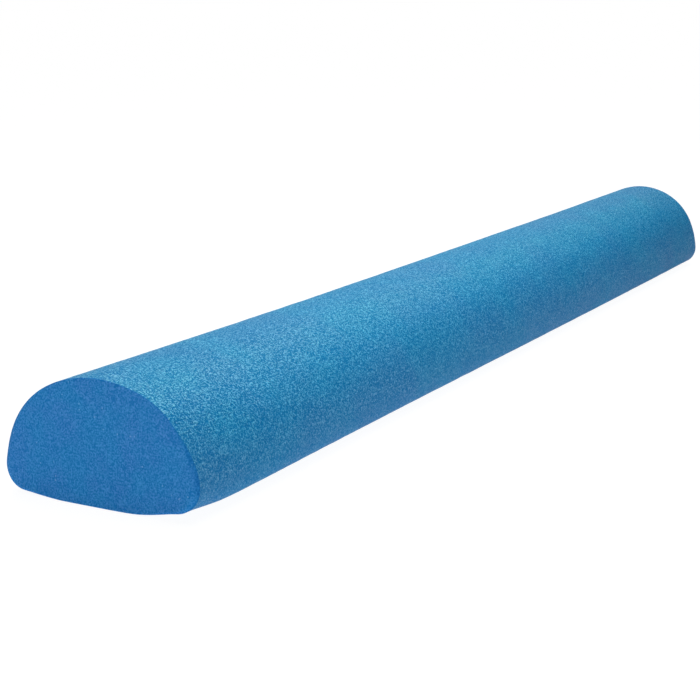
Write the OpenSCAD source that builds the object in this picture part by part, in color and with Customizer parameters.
// Half-round foam roller: a D-shaped log of closed-cell foam, 36 in long and 3 in high,
// that stands on its flat side. The origin is at the middle of the base, +X runs along the
// length, -Y is the front and +Z is up. All sizes are in millimetres.

/* [Body] */
// Overall length
body_l = 914.4; // [300:0.1:1200]
// Widest part of the D, across the dome
body_w = 140; // [130:1:150]
// Height from the flat to the crown
body_h = 76.2; // [74:0.1:84]

/* [Outline] */
// Radius of the crown, the middle of the dome
crown_r = 78; // [76:1:100]
// Radius of the shoulders, the sides of the dome
shoulder_r = 63; // [58:1:70]
// Radius of the rounded edge between the dome and the base
corner_r = 15.5; // [12:0.5:20]
// Radius of the base beside its flat land, where it lifts gently towards the corners
base_r = 380; // [250:10:900]
// Width of the flat land that touches the floor
land_w = 40; // [20:2:60]

/* [Foam] */
// Thickness of the dense outer skin
skin_t = 1.2; // [0.8:0.1:3]
// Thickness of the sealed layer at each cut end
end_t = 4; // [3:0.5:8]
// Radius of the eased edge around each cut end
edge_r = 2.5; // [1:0.5:3]

/* [Hidden] */

SKIN_COLOR = [0.16, 0.56, 0.72];
BASE_COLOR = [0.18, 0.50, 0.68];
END_COLOR = [0.14, 0.42, 0.70];
CORE_COLOR = [0.20, 0.48, 0.72];

skin_l = body_l - 2 * end_t; // length between the two end layers
arc_steps = 12; // flat steps that each arc of the outline is drawn with
edge_steps = 6; // steps around the eased edge of an end

// The outline is a chain of arcs, each tangent to the next: base, corner, shoulder, crown.
// All are in the section plane, [across, up], and these are the centres on the +Y side.
base_c = [land_w / 2, base_r];
corner_y = body_w / 2 - corner_r;
corner_c = [
    corner_y,
    base_r - sqrt(pow(base_r - corner_r, 2) - pow(corner_y - base_c[0], 2))
];
crown_c = [0, body_h - crown_r];
shoulder_c = circle_meeting(crown_c, crown_r - shoulder_r, corner_c, shoulder_r - corner_r);

// Directions of the three tangent points, seen from the centres, in degrees
base_end = direction(base_c, corner_c);
corner_end = direction(shoulder_c, corner_c);
shoulder_end = direction(crown_c, shoulder_c);

// Angle of the line from a to b
function direction(a, b) = atan2(b[1] - a[1], b[0] - a[0]);

// The upper point at distance ra from a and rb from b
function circle_meeting(a, ra, b, rb) =
    let (
        gap = norm(b - a),
        along = (ra * ra - rb * rb + gap * gap) / (2 * gap),
        aside = sqrt(ra * ra - along * along),
        u = (b - a) / gap
    )
    a + along * u + aside * [-u[1], u[0]];

// Points of an arc, from one angle to another, both ends included
function arc(c, r, from, to) =
    [for (i = [0:arc_steps])
        let (t = from + (to - from) * i / arc_steps)
        c + r * [cos(t), sin(t)]];

function tail(list) = [for (i = [1:len(list) - 1]) list[i]];
function reversed(list) = [for (i = [len(list) - 1:-1:0]) list[i]];
function mirrored(list) = [for (p = reversed(list)) [-p[0], p[1]]];

// Half of the dome, from the end of the base to the crown, with the surface set in by inset
function half_dome(inset) = concat(
    arc(corner_c, corner_r - inset, base_end, corner_end),
    tail(arc(shoulder_c, shoulder_r - inset, corner_end, shoulder_end)),
    tail(arc(crown_c, crown_r - inset, shoulder_end, 90))
);

// Half of the base, from the edge of the land to the corner
function half_base(inset) = arc(base_c, base_r - inset, -90, base_end);

function dome_line(inset) = concat(half_dome(inset), tail(mirrored(half_dome(inset))));
function base_line(inset) = concat(mirrored(half_base(inset)), half_base(inset));

// The closed outline, counter-clockwise from the end of the base
function outline(inset) =
    let (base = base_line(inset))
    concat(dome_line(inset), [for (i = [1:len(base) - 2]) base[i]]);

// A section drawn across Y and up Z, made into a log along X and centred on the origin
module log_of(points, length) {
    rotate([90, 0, 90])
        linear_extrude(height = length, center = true)
            polygon(points);
}

// A strip of skin between a line on the outline and the same line set in by its thickness
module skin_of(outer, inner) {
    log_of(concat(outer, reversed(inner)), skin_l);
}

// A solid through a series of outlines, all with the same number of points
module loft(rings) {
    n = len(rings[0]);
    last = len(rings) - 1;
    sides = [for (k = [0:last - 1], i = [0:n - 1])
        [k * n + i, (k + 1) * n + i, (k + 1) * n + (i + 1) % n, k * n + (i + 1) % n]];
    first_cap = [for (i = [0:n - 1]) i];
    last_cap = [for (i = [n - 1:-1:0]) last * n + i];
    polyhedron(points = [for (r = rings) each r], faces = concat([first_cap], sides, [last_cap]));
}

// The end layer at +X: straight against the foam, then eased around its rim
module end_skin() {
    face_x = body_l / 2;
    straight = [for (p = outline(0)) [face_x - end_t, p[0], p[1]]];
    eased = [for (k = [0:edge_steps])
        let (t = 90 * k / edge_steps)
        [for (p = outline(edge_r * (1 - cos(t))))
            [face_x - edge_r * (1 - sin(t)), p[0], p[1]]]];
    loft(concat([straight], eased));
}

// Closed-cell foam, the bulk of the roller
module foam_core() {
    color(CORE_COLOR) log_of(outline(skin_t), skin_l);
}

// Dense pebbled skin over the dome and around both lower corners
module dome_skin() {
    color(SKIN_COLOR) skin_of(dome_line(0), dome_line(skin_t));
}

// Dense skin of the side that rests on the floor
module base_skin() {
    color(BASE_COLOR) skin_of(base_line(0), base_line(skin_t));
}

// Sealed cut face at -X
module left_end_skin() {
    color(END_COLOR) mirror([1, 0, 0]) end_skin();
}

// Sealed cut face at +X
module right_end_skin() {
    color(END_COLOR) end_skin();
}

foam_core();
dome_skin();
base_skin();
left_end_skin();
right_end_skin();
